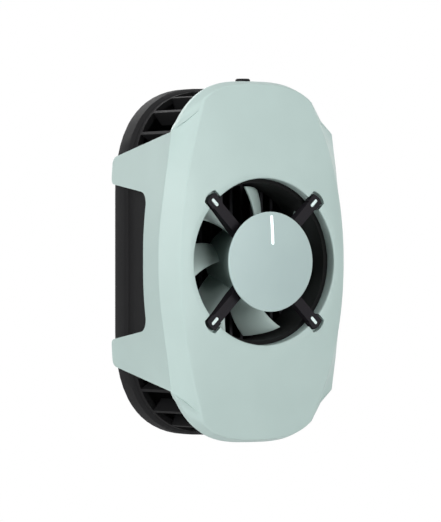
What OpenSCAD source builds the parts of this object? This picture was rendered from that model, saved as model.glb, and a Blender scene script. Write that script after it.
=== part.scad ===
// Clip-less cooling fan for the back of a phone, drawn upright with its fan facing the viewer.
// Each sub-part is drawn lying down, x across, y up the long way and z out of the fan's face.
// Zero is the middle of the pad that touches the phone, and stand() turns the whole thing upright.

/* [Shell] */
// Height of the front shell
shell_h = 92.5; // [91.5:0.1:94]
// Width of the shell's end outline, carried on behind the wings
shell_w = 53.2; // [52.6:0.2:54]
// Width over the two side wings
wing_w = 56.4; // [56:0.2:58]
// Bow radius of a wing's outer edge, seen from the front
wing_bow = 100; // [95:1:120]
// Height above the middle where that edge runs on straight
bow_reach = 14; // [12:0.5:16]
// Height above the middle where the wing's shoulder starts
wing_reach = 33; // [32:0.1:33.6]
// Length of the slanted shoulder
shoulder = 2.6; // [1.5:0.1:3.5]
// Height above the middle where the shoulder's line meets the face's edge
leaf_reach = 38; // [36:0.1:38.6]
// Width of the front face at mid-height
face_w = 48.6; // [47.6:0.2:50]
// Bow radius of the face's long edges
face_bow = 105; // [100:1:130]
// How far the face's edge sits inside the outline at the two ends
face_inset = 0.8; // [0.6:0.1:1.4]
// Radius of the face's ball-shaped crown
crown_r = 220; // [200:5:300]
// Depth of the wings' outer edge behind the fan opening's rim
wing_drop = 6; // [5:0.1:7]
// Depth of the ends' outer edge behind the fan opening's rim
end_drop = 6.6; // [6:0.1:7.2]
// Height of the upright skirt below that edge
skirt_h = 0.9; // [0.8:0.1:1.1]
// Wall thickness of the shell
shell_t = 1.6; // [1.4:0.1:1.8]
// Squareness of the shell's outline, 2 being an ellipse
shell_n = 3.05; // [2.95:0.05:3.3]

/* [Side arms] */
// Depth of the closed strip of the side wall
strip_h = 7.4; // [6:0.1:9]
// Length of the arms behind the wing's edge
arm_len = 27.1; // [26:0.1:27.4]
// Lower edge of an arm at its root, above the middle
arm_root_y = 17.25; // [16:0.05:18]
// Lower edge of an arm at its end
arm_tip_y = 20.3; // [19.5:0.05:20.8]
// Upper edge of an arm at its end
arm_top_y = 27.2; // [26:0.05:27.6]
// How much further back an arm's end reaches at its upper edge
arm_slant = 0.5; // [0:0.1:0.8]
// Corner radius at the arms' ends
arm_corner = 1.4; // [0.8:0.1:2]
// Radius where an arm runs into the strip
arm_fillet = 3.3; // [2:0.1:4]
// Height of the snap lug inside each arm
lug_h = 3; // [2:0.1:3.6]

/* [Black core] */
// Height of the rear cover
core_h = 90.2; // [89.4:0.2:90.4]
// Width of the rear cover
core_w = 49.2; // [48.6:0.2:49.4]
// Half of the straight part of the core's long sides
core_straight = 16.5; // [15:0.5:17.5]
// Squareness of the core's rounded ends
core_n = 2.55; // [2.4:0.05:2.65]
// Depth of the rear cover's full-width band
band_h = 5.5; // [5:0.1:6]
// Step from the band in to the vented frame
vent_step = 0.8; // [0.6:0.1:1]
// Wall thickness of the rear cover and the vented frame
core_t = 1.4; // [1.2:0.1:1.6]
// Radius of the rear cover's back edge
back_round = 1.4; // [0.8:0.1:2]
// Distance of the point that the vent ribs radiate from, above and below the middle
rib_centre = 20; // [18:0.5:22]
// Angle of the first rib from the long axis
rib_first = 11.9; // [11.5:0.1:13]
// Angle between ribs
rib_step = 15.4; // [14.5:0.1:15.8]
// Number of ribs on each side of an end
rib_count = 4; // [3:1:4]
// Thickness of a rib
rib_t = 0.8; // [0.7:0.1:1.2]
// Depth of a rib inward from the outline
rib_d = 4; // [3:0.1:4.2]

/* [Fan] */
// Radius of the opening in the shell
opening_r = 21.3; // [21:0.1:21.6]
// Depth of the shell's wall around the opening
collar_h = 3.4; // [3:0.1:3.8]
// Radius over the blade tips
tip_r = 19.4; // [18.5:0.1:19.6]
// Gap between the blade tips and the duct
tip_gap = 0.9; // [0.7:0.1:1]
// Radius of the fan wheel's hub
hub_r = 9; // [8.8:0.1:9.3]
// Number of blades
blade_count = 7; // [5:1:9]
// Turning angle taken up by one blade at the hub
blade_span = 31; // [26:0.5:33]
// Turning angle taken up by one blade at its tip
tip_span = 25.5; // [22:0.5:28]
// Forward sweep of a blade from hub to tip
blade_sweep = 18.2; // [8:0.1:20]
// Axial height of a blade
blade_h = 6.8; // [5.5:0.1:7.2]
// Thickness of a blade at the hub
blade_t = 1.1; // [0.8:0.1:1.4]
// Turned position of the wheel
blade_turn = 77; // [0:0.1:90]
// Axial height of the hub
hub_h = 11.2; // [11:0.1:11.4]

/* [Hub and spider] */
// Radius of the hub disc
cap_r = 12.75; // [12.4:0.05:13.4]
// Thickness of the hub disc's edge
cap_edge = 0.65; // [0.5:0.05:1]
// Rise of the hub disc's dome
cap_dome = 0.9; // [0.6:0.1:1.2]
// Radius of the motor cup behind the disc
cup_r = 8.5; // [8.4:0.05:8.8]
// Gap between the wheel's hub and the spider
hub_gap = 0.4; // [0.35:0.05:0.6]
// Gap between the spider's arms and the hub disc
cap_gap = 2.1; // [1.9:0.1:2.3]
// Width of a spider arm
strut_w = 2.7; // [2.4:0.1:3]
// Depth of a spider arm at the motor cup
strut_h = 3.1; // [2.9:0.1:3.3]
// Width of the tab at the end of a spider arm
tab_w = 3.3; // [3.2:0.1:3.6]
// Thickness of the tab
tab_t = 1.9; // [1.6:0.1:2]
// Radius at which the tab ends
tab_r = 23.3; // [23.1:0.1:23.7]
// Radius of the tabs' bowed ends
tab_bow = 3.8; // [3:0.1:8]
// Length of the peg that shows in the tab's slot
peg_len = 2.5; // [2:0.1:2.8]
// Width of that peg
peg_w = 0.9; // [0.7:0.1:1]
// Length of the light bar
bar_len = 7.5; // [5:0.1:8]
// Width of the light bar
bar_w = 0.8; // [0.6:0.1:1.2]
// Distance of the bar's outer end from the disc's edge
bar_edge = 0.9; // [0.6:0.1:1.4]

/* [Cooling stack] */
// Thickness of the contact pad
pad_t = 0.4; // [0.3:0.1:0.6]
// Distance of the rear cover's back face behind the pad's face
rear_gap = 0.8; // [0.7:0.1:1]
// Width of the thermoelectric module
tec_w = 30; // [28:0.5:30]
// Thickness of the thermoelectric module
tec_t = 3.2; // [3:0.1:3.6]
// Thickness of a ceramic face of the module
ceramic_t = 0.7; // [0.5:0.1:0.8]
// Number of semiconductor legs along one side
leg_count = 7; // [5:1:9]
// Thickness of the cold plate's flange
flange_t = 0.8; // [0.6:0.1:1]
// Thickness of the heat sink's base
sink_base = 2; // [1.6:0.1:2.2]
// Height of the fins
fin_h = 10.9; // [10.2:0.1:11.4]
// Thickness of a fin
fin_t = 0.9; // [0.7:0.1:1.1]
// Number of fins
fin_count = 13; // [9:1:13]
// Inner radius of the magnet arcs
magnet_r = 23; // [22.8:0.1:23.2]
// Radial width of the magnet arcs
magnet_w = 4; // [3:0.1:4]
// Thickness of the magnets
magnet_t = 1.8; // [1.4:0.1:2]
// Number of magnets in one arc
magnet_count = 7; // [5:1:8]

/* [Button and boards] */
// Radius of the power button
button_r = 1.9; // [1.6:0.1:2]
// Height of the button above the shell's end
button_rise = 0.8; // [0.7:0.1:1.1]
// Travel of the button
button_travel = 0.5; // [0.3:0.05:0.6]
// Thickness of the circuit boards
board_t = 1; // [0.8:0.1:1.2]
// Width of the power inlet's shell
inlet_w = 8.94; // [8.9:0.02:9]
// Height of the power inlet's shell
inlet_h = 3.2; // [3.16:0.02:3.26]

/* [Fits] */
// Gap between parts that are pushed together
push_fit = 0.05; // [0.03:0.01:0.08]
// Gap between parts that lie next to each other
loose_fit = 0.3; // [0.25:0.01:0.32]
// Running clearance of the shaft
run_fit = 0.03; // [0.02:0.01:0.05]
// Gap around the button
button_fit = 0.2; // [0.15:0.01:0.25]

/* [Hidden] */
$fn = 64;
far = 60;
eps = 0.01;

// Heights of the stack, from the pad's face outward
rear_z = rear_gap;
floor_z = rear_z + core_t;
plate_z = floor_z + flange_t;
sink_z = plate_z + tec_t;
fin_z = sink_z + sink_base;
fin_top = fin_z + fin_h;
wheel_z = fin_top + 1.4;
wheel_top = wheel_z + hub_h;
spider_z = wheel_top + hub_gap;
strut_z = spider_z + strut_h;
cup_z = strut_z + cap_gap;
rim_z = strut_z + 0.1;
seat_w = strut_w - 0.3;
crown_z = rim_z + sag(opening_r, crown_r);
wing_z = rim_z - wing_drop;
end_z = rim_z - end_drop;
skirt_z = end_z - skirt_h;
collar_z = rim_z - collar_h;
tab_z = strut_z - tab_t;
split_z = rear_z + band_h + 1.2;
frame_top = end_z + 0.6;
tongue_z = skirt_z - loose_fit;
deck_z = fin_top + 0.5;
deck_t = 1.4;
deck_top = deck_z + deck_t;
board_z = deck_top + 1.3;
board_top = board_z + board_t;
inlet_z = board_top + inlet_h / 2;
button_z = board_top + 1.25;
arm_z = wing_z - arm_len;
strip_z = wing_z - strip_h;

// Shared sizes across
half_h = shell_h / 2;
half_w = shell_w / 2;
plug = push_fit;
duct_r = tip_r + tip_gap;
duct_t = 1.2;
lip_r = opening_r + 1.6;
plate_w = tec_w + 3;
foot_w = tec_w;
boss_r = 2.4;
post_r = 2.1;
post_x = 12.5;
post_y = 27;
shaft_r = 1;
sleeve_r = 1.9;
tube_r = 2.5;
core_r = hub_r - 3.1;
magnet_ring_r = core_r + 0.4;
yoke_r = hub_r - 0.9;
pocket_r = cup_r - 0.9;
lead_r = 0.6;
lead_x = 4;
lead_z = (floor_z + magnet_t + 0.7 + sink_z) / 2;
lead_y = core_h / 2 - 6.7;
frame_end = core_h / 2 - vent_step;
button_end = max(half_h, core_h / 2) + button_rise;
flange_y = frame_end - core_t - 0.1;
plunger_y = flange_y - 1.2;
switch_y = plunger_y - 0.9;
inlet_end = frame_end - 0.3;
inlet_len = 7.3;
ledge_y = rib_centre + 8;
board_far = frame_end - 7.3;
board_near = board_far - 9;
vent_edge = rib_first + rib_step * (rib_count - 0.5);
boss_at = rib_first + rib_step * (rib_count - 1);
boss_x = 19.2 * sin(boss_at);
boss_y = rib_centre + 19.2 * cos(boss_at);

// Height lost by a circle of radius r at a distance x from its top
function sag(x, r) = r - sqrt(r * r - x * x);
function clamp(v, a, b) = min(max(v, a), b);

// Angles at which all outlines are sampled in one quarter: along the side, then around the end
shoulder_end = wing_reach + shoulder;
function side_angle(y, h) = asin(pow(y / h, shell_n / 2));
function samples(h, reach, len) = let (end = side_angle(reach + len, h)) concat(
    [for (i = [0:8]) side_angle(i * reach / 8, h)],
    [side_angle(reach + len / 2, h)],
    [for (i = [0:9]) end + i * (90 - end) / 9]);
quarter = samples(half_h, wing_reach, shoulder);
face_quarter = samples(half_h - face_inset, leaf_reach, 0.3 * shoulder);

// One quarter's points are mirrored into a closed ring that runs anticlockwise
function ring(q) = let (m = len(q) - 1) concat(
    q,
    [for (i = [m - 1:-1:0]) [-q[i][0], q[i][1], q[i][2]]],
    [for (i = [1:m]) [-q[i][0], -q[i][1], q[i][2]]],
    [for (i = [m - 1:-1:1]) [q[i][0], -q[i][1], q[i][2]]]);
function oval(a, b, n, t) = [a * pow(cos(t), 2 / n), b * pow(sin(t), 2 / n)];
function flat(r) = [for (p = r) [p[0], p[1]]];

// Shell outline with its wings, drawn in by a given amount; w is 1 at the wing and 0 at the end
function wing_share(y) = clamp((shoulder_end - y) / shoulder, 0, 1);
function wing_half(y) = let (b = min(y, bow_reach))
    wing_w / 2 - sag(b, wing_bow) - (y - b) * tan(asin(b / wing_bow));
function shell_point(t, inset, z_wing, z_end) = let (
    p = oval(half_w - inset, half_h - inset, shell_n, t),
    w = wing_share(p[1] + 0.4 * inset),
    x = p[0] + w * (wing_half(p[1]) - inset - p[0]))
    [max(p[0], x), p[1], z_end + w * (z_wing - z_end)];
function shell_ring(inset, z_wing, z_end) =
    ring([for (t = quarter) shell_point(t, inset, z_wing, z_end)]);
function face_ring(inset, z) = ring([for (t = face_quarter) let (
    p = oval(half_w - inset, half_h - inset, shell_n, t))
    [min(p[0], (face_w / 2 + face_inset - inset) - sag(p[1], face_bow)), p[1], z]]);
function crown_at(p) = crown_z - sag(norm([p[0], p[1]]), crown_r);
// Ring on the lines that run from the outer edge to the face's edge, carried on past the face
function chamfer_ring(part, z) = let (
    low = shell_ring(0, wing_z, end_z),
    high = [for (p = face_ring(face_inset, 0)) [p[0], p[1], crown_at(p)]])
    [for (i = [0:len(low) - 1]) let (p = low[i] + part * (high[i] - low[i]))
        [p[0], p[1], z > 0 ? z : p[2]]];
function core_ring(inset, z) = let (a = core_w / 2 - inset, b = core_h / 2 - core_straight - inset)
    ring(concat([[a, 0, z]], [for (t = quarter) let (
        p = oval(a, b, core_n, t)) [p[0], core_straight + p[1], z]]));
function core_half(y) = let (u = max(y - core_straight, 0) / (core_h / 2 - core_straight))
    core_w / 2 * pow(1 - pow(u, core_n), 1 / core_n);

// Solid skinned over a list of rings that have the same number of points
module skin(rings) {
    n = len(rings[0]);
    m = len(rings);
    mid = [for (r = [rings[0], rings[m - 1]]) [for (k = [0:2]) sum([for (p = r) p[k]]) / n]];
    points = concat([for (r = rings) each r], mid);
    polyhedron(points, concat(
        [for (i = [0:n - 1]) [n * m, i, (i + 1) % n]],
        [for (i = [0:n - 1]) [n * m + 1, n * (m - 1) + (i + 1) % n, n * (m - 1) + i]],
        [for (k = [0:m - 2], i = [0:n - 1]) let (j = (i + 1) % n)
            [k * n + i, (k + 1) * n + i, (k + 1) * n + j]],
        [for (k = [0:m - 2], i = [0:n - 1]) let (j = (i + 1) % n)
            [k * n + i, (k + 1) * n + j, k * n + j]]));
}
function sum(v, i = 0) = i < len(v) ? v[i] + sum(v, i + 1) : 0;

// Prism over a flat outline between two heights
module prism(points, z0, z1) {
    translate([0, 0, z0])
        linear_extrude(z1 - z0)
            polygon(points);
}

module core_prism(inset, z0, z1) {
    prism(flat(core_ring(inset, 0)), z0, z1);
}

// Upright ring between two radii
module tube(r_out, r_in, z0, z1) {
    translate([0, 0, z0])
        linear_extrude(z1 - z0)
            difference() {
                circle(r_out);
                circle(r_in);
            }
}

module disc(r, z0, z1) {
    translate([0, 0, z0])
        cylinder(r = r, h = z1 - z0);
}

// Box centred across with its near face at z0
module block(x0, x1, y0, y1, z0, z1) {
    translate([x0, y0, z0])
        cube([x1 - x0, y1 - y0, z1 - z0]);
}

// Square plate with rounded corners
module plate(w, h, r, z0, z1) {
    translate([0, 0, z0])
        linear_extrude(z1 - z0) {
            square([w - 2 * r, h], center = true);
            square([w, h - 2 * r], center = true);
            for (x = [-1, 1], y = [-1, 1])
                translate([x * (w / 2 - r), y * (h / 2 - r)])
                    circle(r);
        }
}

// Round-ended bar lying along x
module bar(len, w, z0, z1) {
    translate([0, 0, z0])
        linear_extrude(z1 - z0) {
            square([len - w, w], center = true);
            for (s = [-1, 1])
                translate([s * (len - w) / 2, 0])
                    circle(w / 2);
        }
}

module four_corners(x, y) {
    for (i = [-1, 1], j = [-1, 1])
        translate([i * x, j * y, 0])
            children();
}

module diagonals() {
    for (k = [0:3])
        rotate(45 + 90 * k)
            children();
}

module both_ends() {
    children();
    rotate(180)
        children();
}

// Places its children around an end, a given angle from the long axis
module around_end(a) {
    translate([0, rib_centre, 0])
        rotate(90 - a)
            children();
}

// Turns the lying model upright
module stand() {
    rotate([90, 0, 0])
        children();
}

// Points of an outline whose corners [y, z, radius] are rounded off
function unit(v) = v / norm(v);
function corner(a, b, c, r) = let (
    u = unit(a - b),
    v = unit(c - b),
    half = acos(u * v) / 2,
    mid = b + unit(u + v) * r / sin(half),
    turn = sign(u[0] * v[1] - u[1] * v[0]),
    start = b + u * r / tan(half) - mid,
    sweep = turn * (180 - 2 * half))
    r == 0 ? [b] : [for (i = [0:6]) let (g = -sweep * i / 6)
        mid + [start[0] * cos(g) - start[1] * sin(g), start[0] * sin(g) + start[1] * cos(g)]];
function rounded(p) = let (n = len(p)) [for (i = [0:n - 1]) let (
    a = p[(i + n - 1) % n], b = p[i], c = p[(i + 1) % n])
    each corner([a[0], a[1]], [b[0], b[1]], [c[0], c[1]], b[2])];

// Side view of the shell's wall: the strip along the front and the two arms behind it
module side_profile() {
    half = [
        [0, strip_z, 0],
        [arm_root_y, strip_z - 0.6, arm_fillet],
        [arm_tip_y, arm_z + arm_slant, arm_corner],
        [arm_top_y, arm_z, arm_corner],
        [wing_reach + 0.7, wing_z + 0.2, 0],
        [0, wing_z + 0.2, 0]];
    for (s = [-1, 1])
        rotate([0, 90, 0])
            rotate(90)
                scale([s, -1, 1])
                    translate([0, 0, -far])
                        linear_extrude(2 * far)
                            polygon([for (p = rounded(half)) [p[0], -p[1]]]);
}

// Mint shell: crowned face, flared wings, side walls with four arms, and the seats for the spider
module front_cover() {
    color([0.72, 0.82, 0.8])
        stand() {
            difference() {
                union() {
                    intersection() {
                        skin([
                            shell_ring(0, skirt_z, skirt_z),
                            shell_ring(0, wing_z, end_z),
                            chamfer_ring(1.08, 0),
                            chamfer_ring(1.08, crown_z + 1)]);
                        translate([0, 0, crown_z - crown_r])
                            sphere(crown_r, $fn = 240);
                    }
                    intersection() {
                        difference() {
                            prism(flat(shell_ring(0, 0, 0)), arm_z - 1, wing_z);
                            prism(flat(shell_ring(shell_t, 0, 0)), arm_z - 2, wing_z + 1);
                            core_prism(-loose_fit, arm_z - 2, wing_z + 1);
                        }
                        side_profile();
                    }
                }
                difference() {
                    intersection() {
                        skin([
                            shell_ring(shell_t, skirt_z - 1, skirt_z - 1),
                            shell_ring(shell_t, wing_z - 0.8, end_z - 0.4),
                            face_ring(face_inset + shell_t, crown_z)]);
                        translate([0, 0, crown_z - crown_r])
                            sphere(crown_r - shell_t, $fn = 240);
                    }
                    disc(lip_r, collar_z, crown_z);
                    diagonals()
                        block(opening_r - 1, tab_r + 1.4, -tab_w / 2 - 1.4, tab_w / 2 + 1.4,
                            collar_z, crown_z);
                }
                difference() {
                    disc(opening_r, collar_z - 1, crown_z + 1);
                    diagonals()
                        block(opening_r - 1.5, opening_r + 1, -seat_w / 2, seat_w / 2, collar_z, tab_z);
                }
                diagonals()
                    tab_outline(loose_fit, tab_z, crown_z + 1);
            }
            diagonals()
                translate([opening_r, 0, 0])
                    bar(peg_len, peg_w, tab_z - 1, strut_z - 0.2);
            for (i = [-1, 1], j = [-1, 1])
                scale([i, j, 1])
                    snap_lug();
        }
}

// Lug inside an arm's end that snaps into the rear cover
lug_y = (arm_tip_y + arm_top_y) / 2;
lug_tip = core_half(lug_y) - 0.6;
module snap_lug() {
    x = wing_half(lug_y);
    block(lug_tip, x - shell_t / 2, lug_y - lug_h / 2, lug_y + lug_h / 2, arm_z + 0.8, arm_z + 2.6);
}

// Outline of a spider tab in the shell's face, grown by a gap
module tab_outline(gap, z0, z1) {
    w = tab_w / 2 + gap;
    x = tab_r + 2 * gap;
    bow = sag(w, tab_bow);
    bow_mid = sag(w / 2, tab_bow);
    translate([0, 0, z0])
        linear_extrude(z1 - z0)
            polygon([[opening_r - 0.8, -w], [x - bow, -w], [x - bow_mid, -w / 2], [x, 0],
                [x - bow_mid, w / 2], [x - bow, w], [opening_r - 0.8, w]]);
}

// Mint disc in front of the motor, domed, with the slot for its light
module hub_cap() {
    r = (cap_r * cap_r + cap_dome * cap_dome) / (2 * cap_dome);
    color([0.72, 0.82, 0.8])
        stand()
            difference() {
                union() {
                    intersection() {
                        disc(cap_r, cup_z, cup_z + 4);
                        translate([0, 0, cup_z + cap_edge + cap_dome - r])
                            sphere(r, $fn = 200);
                    }
                    tube(pocket_r - loose_fit, pocket_r - 1.5, cup_z - 0.9, cup_z + 0.1);
                }
                bar_place()
                    bar(bar_len + 2 * plug, bar_w + 2 * plug, cup_z - 1, cup_z + 5);
            }
}

module bar_place() {
    translate([0, cap_r - bar_edge - bar_len / 2, 0])
        rotate(90)
            children();
}

// White light bar let into the disc
module light_bar() {
    r = (cap_r * cap_r + cap_dome * cap_dome) / (2 * cap_dome);
    color([0.96, 1, 1])
        stand()
            intersection() {
                bar_place()
                    bar(bar_len, bar_w, cup_z, cup_z + 5);
                translate([0, 0, cup_z + cap_edge + cap_dome - r])
                    sphere(r, $fn = 200);
            }
}

// Black motor mount: cup, bearing tube and four arms whose tabs drop over the shell's pegs
module fan_spider() {
    color([0.15, 0.15, 0.16])
        stand() {
            difference() {
                union() {
                    disc(cup_r, spider_z, cup_z);
                    diagonals() {
                        strut();
                        tab_outline(0, tab_z, strut_z);
                    }
                }
                disc(pocket_r, spider_z + 2.5, cup_z + 1);
                disc(pocket_r - 1.5, spider_z + 1.5, cup_z);
                disc(sleeve_r + plug, spider_z - 1, cup_z);
                diagonals()
                    translate([opening_r, 0, 0])
                        bar(peg_len + 0.2, peg_w + 0.2, tab_z - 1, strut_z + 1);
                for (a = [60, 180, 300])
                    rotate(a)
                        translate([4.3, 0, spider_z - 1])
                            cylinder(r = 0.9, h = 4);
            }
            tube(tube_r, sleeve_r + plug, wheel_z + 3.6, spider_z + eps);
        }
}

// Spider arm, deep at the motor cup and thinner towards its tab
module strut() {
    end = opening_r - 0.7;
    rotate([90, 0, 0])
        translate([0, 0, -strut_w / 2])
            linear_extrude(strut_w)
                polygon([[0, spider_z], [cup_r + 4, spider_z], [end, tab_z], [end, strut_z],
                    [0, strut_z]]);
}

// Driver board in the motor cup
module motor_board() {
    color([0.1, 0.12, 0.11])
        stand()
            tube(pocket_r - loose_fit, 2.8, spider_z + 2.5, spider_z + 2.5 + 0.8);
}

// Light source behind the light bar
module light_chip() {
    color([0.95, 0.93, 0.8])
        stand()
            block(-0.7, 0.7, 4.2, 6.6, spider_z + 3.3, spider_z + 4);
}

module bearing_sleeve() {
    color([0.68, 0.5, 0.3])
        stand()
            tube(sleeve_r, shaft_r + run_fit, wheel_z + 3.8, spider_z + 1.2);
}

// Four-pole laminated core on the bearing tube
stator_z = wheel_z + 4.8;
stator_top = stator_z + 3.6;
module stator_core() {
    color([0.45, 0.46, 0.48])
        stand()
            difference() {
                union() {
                    disc(tube_r + 0.8, stator_z, stator_top);
                    intersection() {
                        disc(core_r, stator_z, stator_top);
                        for (k = [0:3])
                            rotate(90 * k) {
                                block(0, core_r, -0.9, 0.9, stator_z, stator_top);
                                block(core_r - 1, core_r, -core_r / 2, core_r / 2, stator_z, stator_top);
                            }
                    }
                }
                disc(tube_r + push_fit, stator_z - 1, stator_top + 1);
            }
}

// Windings on the four poles
module stator_coils() {
    color([0.72, 0.42, 0.2])
        stand()
            for (k = [0:3])
                rotate(90 * k)
                    difference() {
                        block(tube_r + 0.9, core_r - 1.1, -2.1, 2.1, stator_z - 0.8, stator_top + 0.8);
                        block(tube_r, core_r, -0.95, 0.95, stator_z - 0.05, stator_top + 0.05);
                    }
}

// One blade as sections on cylinders, from inside the hub's wall to the tip
blade_top = wheel_z + 0.4 + blade_h;
function blade_section(r) = let (
    u = (r - hub_r) / (tip_r - hub_r),
    lead = blade_sweep * u,
    span = blade_span + (tip_span - blade_span) * u,
    t = blade_t * (1 - 0.35 * u),
    n = 8,
    side = [for (i = [0:n]) let (s = i / n)
        [lead - span * s, blade_top - t / 2 - (blade_h - t) * (1.35 * s - 0.35 * s * s),
            t / 2 * sqrt(0.12 + 3.52 * s * (1 - s))]])
    concat(
        [for (i = [0:n]) [r * cos(side[i][0]), r * sin(side[i][0]), side[i][1] + side[i][2]]],
        [for (i = [n:-1:0]) [r * cos(side[i][0]), r * sin(side[i][0]), side[i][1] - side[i][2]]]);
module blade() {
    skin([for (i = [0:6]) blade_section(hub_r - 0.4 + i * (tip_r - hub_r + 0.4) / 6)]);
}

// Mint fan wheel: cup-shaped hub with its blades
module fan_wheel() {
    color([0.6, 0.7, 0.68])
        stand() {
            difference() {
                union() {
                    disc(hub_r, wheel_z, wheel_top);
                    for (k = [0:blade_count - 1])
                        rotate(blade_turn + k * 360 / blade_count)
                            blade();
                }
                disc(yoke_r + push_fit, wheel_z + 1.4, wheel_top + 1);
                disc(shaft_r + 0.01, wheel_z + 0.6, wheel_top);
            }
            tube(2.4, shaft_r + 0.01, wheel_z + 1.4 - eps, wheel_z + 3.2);
        }
}

// Steel cup inside the hub
module rotor_yoke() {
    color([0.55, 0.56, 0.58])
        stand() {
            tube(yoke_r, yoke_r - 0.6, wheel_z + 1.4, wheel_top - 0.4);
            tube(yoke_r - 0.5, 2.6, wheel_z + 1.4, wheel_z + 2);
        }
}

module rotor_magnet() {
    color([0.25, 0.24, 0.24])
        stand()
            tube(yoke_r - 0.6 - push_fit, magnet_ring_r, wheel_z + 2.8, wheel_top - 0.8);
}

module fan_shaft() {
    color([0.75, 0.76, 0.78])
        stand()
            disc(shaft_r, wheel_z + 0.6, spider_z + 1.9);
}

// Split washer that keeps the shaft in its sleeve
module shaft_clip() {
    color([0.6, 0.6, 0.62])
        stand()
            difference() {
                tube(shaft_r + 0.5, shaft_r + 0.01, spider_z + 1.35, spider_z + 1.65);
                block(0, 3, -0.3, 0.3, spider_z, spider_z + 3);
            }
}

// Deck that carries the fan's duct and the two circuit boards
module fan_deck() {
    color([0.1, 0.1, 0.11])
        stand() {
            difference() {
                union() {
                    core_prism(vent_step + rib_d + 1.5, deck_z, deck_top);
                    intersection() {
                        core_prism(vent_step + core_t + loose_fit, deck_z, deck_top);
                        union() {
                            block(-far, far, -ledge_y, ledge_y, 0, far);
                            block(-8, 8, -far, far, 0, far);
                        }
                    }
                }
                disc(duct_r, deck_z - 1, deck_top + 1);
                rib_plates(loose_fit, deck_z - 1, deck_top + 1);
                for (s = [-1, 1])
                    translate([s * lead_x, -lead_y, deck_z - 1])
                        cylinder(r = lead_r + loose_fit, h = 4);
            }
            tube(duct_r + duct_t, duct_r, deck_top - eps, collar_z - loose_fit);
            for (x = [-1, 1]) {
                translate([x * 7, -board_near - 2.5, deck_top - eps])
                    cylinder(r = 1.2, h = board_z - deck_top + eps);
                translate([x * 5, board_near + 2, deck_top - eps])
                    cylinder(r = 1.2, h = board_z - deck_top + eps);
            }
        }
}

// Black frame with the ribbed air outlets at both ends
vent_z0 = split_z + 1.6;
vent_z1 = skirt_z - 0.4;
module vent_frame() {
    color([0.13, 0.13, 0.14])
        stand()
            difference() {
                union() {
                    difference() {
                        union() {
                            core_prism(vent_step, split_z, tongue_z);
                            core_prism(vent_step + 0.5, tongue_z - eps, frame_top);
                        }
                        core_prism(vent_step + core_t, split_z - 1, frame_top + 1);
                        both_ends()
                            vent_zone();
                    }
                    intersection() {
                        core_prism(vent_step, split_z, frame_top);
                        rib_plates(0, vent_z0 - 0.5, vent_z1 + 0.5);
                        difference() {
                            core_prism(0, 0, far);
                            block(-7, 7, -frame_end + core_t, -20, deck_z, far);
                        }
                    }
                    difference() {
                        intersection() {
                            core_prism(vent_step + 0.4, deck_z - 1.2, deck_z - push_fit);
                            block(-far, far, -ledge_y, ledge_y, 0, far);
                        }
                        core_prism(vent_step + core_t + 1.4, deck_z - 2, deck_top);
                    }
                    difference() {
                        intersection() {
                            core_prism(vent_step, vent_z0 - 0.5, vent_z1 + 0.5);
                            union() {
                                block(-3.6, 3.6, 20, far, deck_z, far);
                                block(-7, 7, -far, -20, deck_z, far);
                            }
                        }
                        core_prism(vent_step + core_t, 0, far);
                    }
                    four_corners(boss_x, boss_y)
                        disc(boss_r, split_z, split_z + 8);
                }
                four_corners(boss_x, boss_y)
                    disc(0.9, split_z - 1, split_z + 7);
                translate([0, far, button_z])
                    rotate([90, 0, 0])
                        cylinder(r = button_r + button_fit, h = far - 30);
                translate([0, -30, inlet_z])
                    rotate([90, 0, 0])
                        bar(inlet_w + 2 * loose_fit, inlet_h + 2 * loose_fit, 0, far);
            }
}

// Ribs of both ends, grown by a gap and cut off inside the housing
module rib_plates(gap, z0, z1) {
    difference() {
        both_ends()
            for (k = [0:rib_count - 1], s = [-1, 1])
                around_end(s * (rib_first + k * rib_step))
                    block(10, far, -rib_t / 2 - gap, rib_t / 2 + gap, z0, z1);
        core_prism(vent_step + rib_d + gap, z0 - 1, z1 + 1);
    }
}

// Air outlet of one end, before its ribs are put in
module vent_zone() {
    translate([0, rib_centre, vent_z0])
        linear_extrude(vent_z1 - vent_z0)
            polygon(concat([[0, 0]], [for (i = [0:8]) let (a = vent_edge * (i / 4 - 1))
                far * [sin(a), cos(a)]]));
}

// Black rear cover with the window for the cold plate
module rear_cover() {
    color([0.14, 0.14, 0.15])
        stand() {
            difference() {
                skin(concat(
                    [for (i = [0:4]) let (a = 90 * i / 4)
                        core_ring(back_round * (1 - sin(a)), rear_z + back_round * (1 - cos(a)))],
                    [core_ring(0, rear_z + band_h), core_ring(vent_step, split_z)]));
                core_prism(core_t + vent_step / 2, floor_z, split_z + 1);
                plate(foot_w + 2 * loose_fit, foot_w + 2 * loose_fit, 3, -1, floor_z + 1);
                four_corners(boss_x, boss_y) {
                    disc(2, rear_z - 1, rear_z + 1.1);
                    disc(1.1, rear_z, split_z);
                }
                for (i = [-1, 1], j = [-1, 1])
                    scale([i, j, 1])
                        block(lug_tip - loose_fit, far, lug_y - lug_h / 2 - loose_fit,
                            lug_y + lug_h / 2 + loose_fit, arm_z + 0.8 - loose_fit,
                            arm_z + 2.6 + loose_fit);
            }
            four_corners(boss_x, boss_y)
                tube(boss_r, 1.1, rear_z + 1.1, split_z);
            four_corners(post_x, post_y)
                tube(post_r, 0.8, floor_z - eps, sink_z);
        }
}

// Four screws from the rear cover into the frame
module case_screws() {
    color([0.3, 0.3, 0.32])
        stand()
            four_corners(boss_x, boss_y)
                difference() {
                    union() {
                        disc(1.8, rear_z + 0.1, rear_z + 1.1);
                        disc(0.85, rear_z + 1, split_z + 6.4);
                    }
                    for (a = [0, 90])
                        rotate(a)
                            block(-1, 1, -0.2, 0.2, rear_z - 1, rear_z + 0.6);
                }
}

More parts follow.
